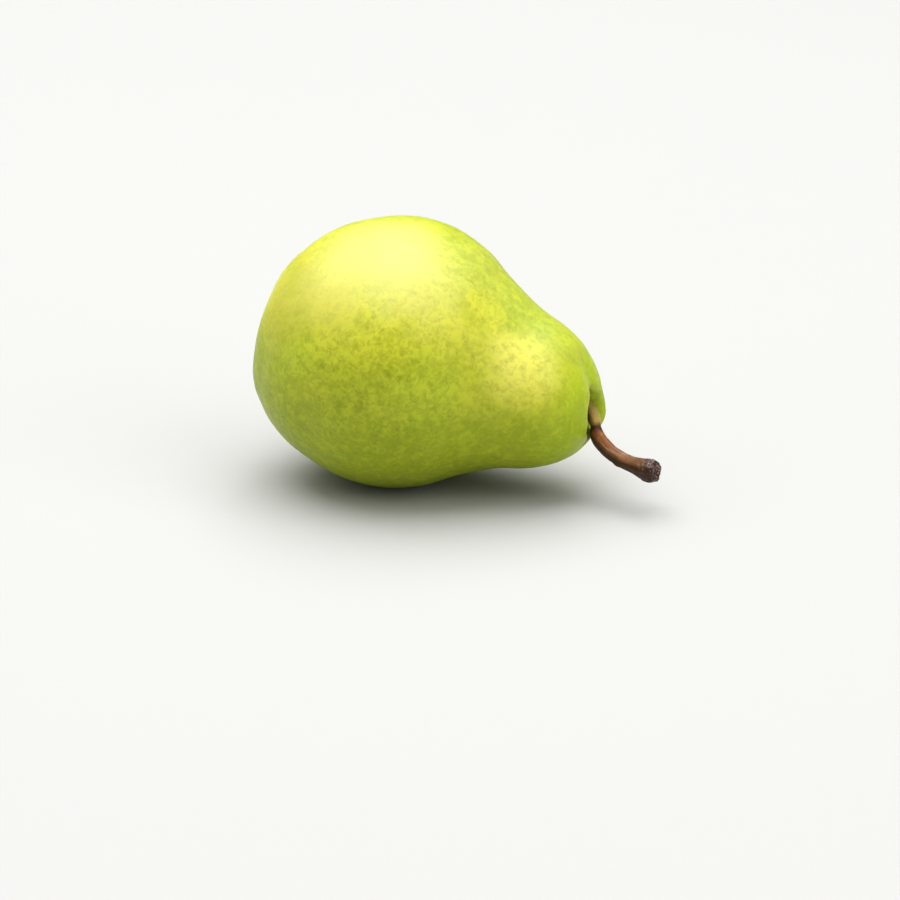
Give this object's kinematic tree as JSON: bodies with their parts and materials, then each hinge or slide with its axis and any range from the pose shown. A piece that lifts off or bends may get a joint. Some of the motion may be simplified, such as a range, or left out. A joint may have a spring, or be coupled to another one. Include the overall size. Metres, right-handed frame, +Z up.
{
  "type": "pear",
  "caption": "Ripe green winter pear lying on its side on a small flat spot, with its curved woody stem and dried calyx.",
  "frame": {"origin": "middle of the small flat spot on the fruit's side that it rests on, on the supporting surface", "axes": "+X level along the pear towards its stem, +Z up, -Y the side whose shoulder the stem's end curls towards"},
  "size_m": [0.1154, 0.0758, 0.0747],
  "materials": {
    "fruit_skin": "thin waxy yellow-green fruit skin with fine darker green dots, satin",
    "stem_wood": "reddish-brown ribbed bark with a fleshy pale foot and a dark rough cut end",
    "dried_calyx": "dry papery dark brown, matt"
  },
  "bodies": {
    "root": {"fruit": "fruit_skin", "stem": "stem_wood", "calyx": "dried_calyx"}
  },
  "joints": []
}
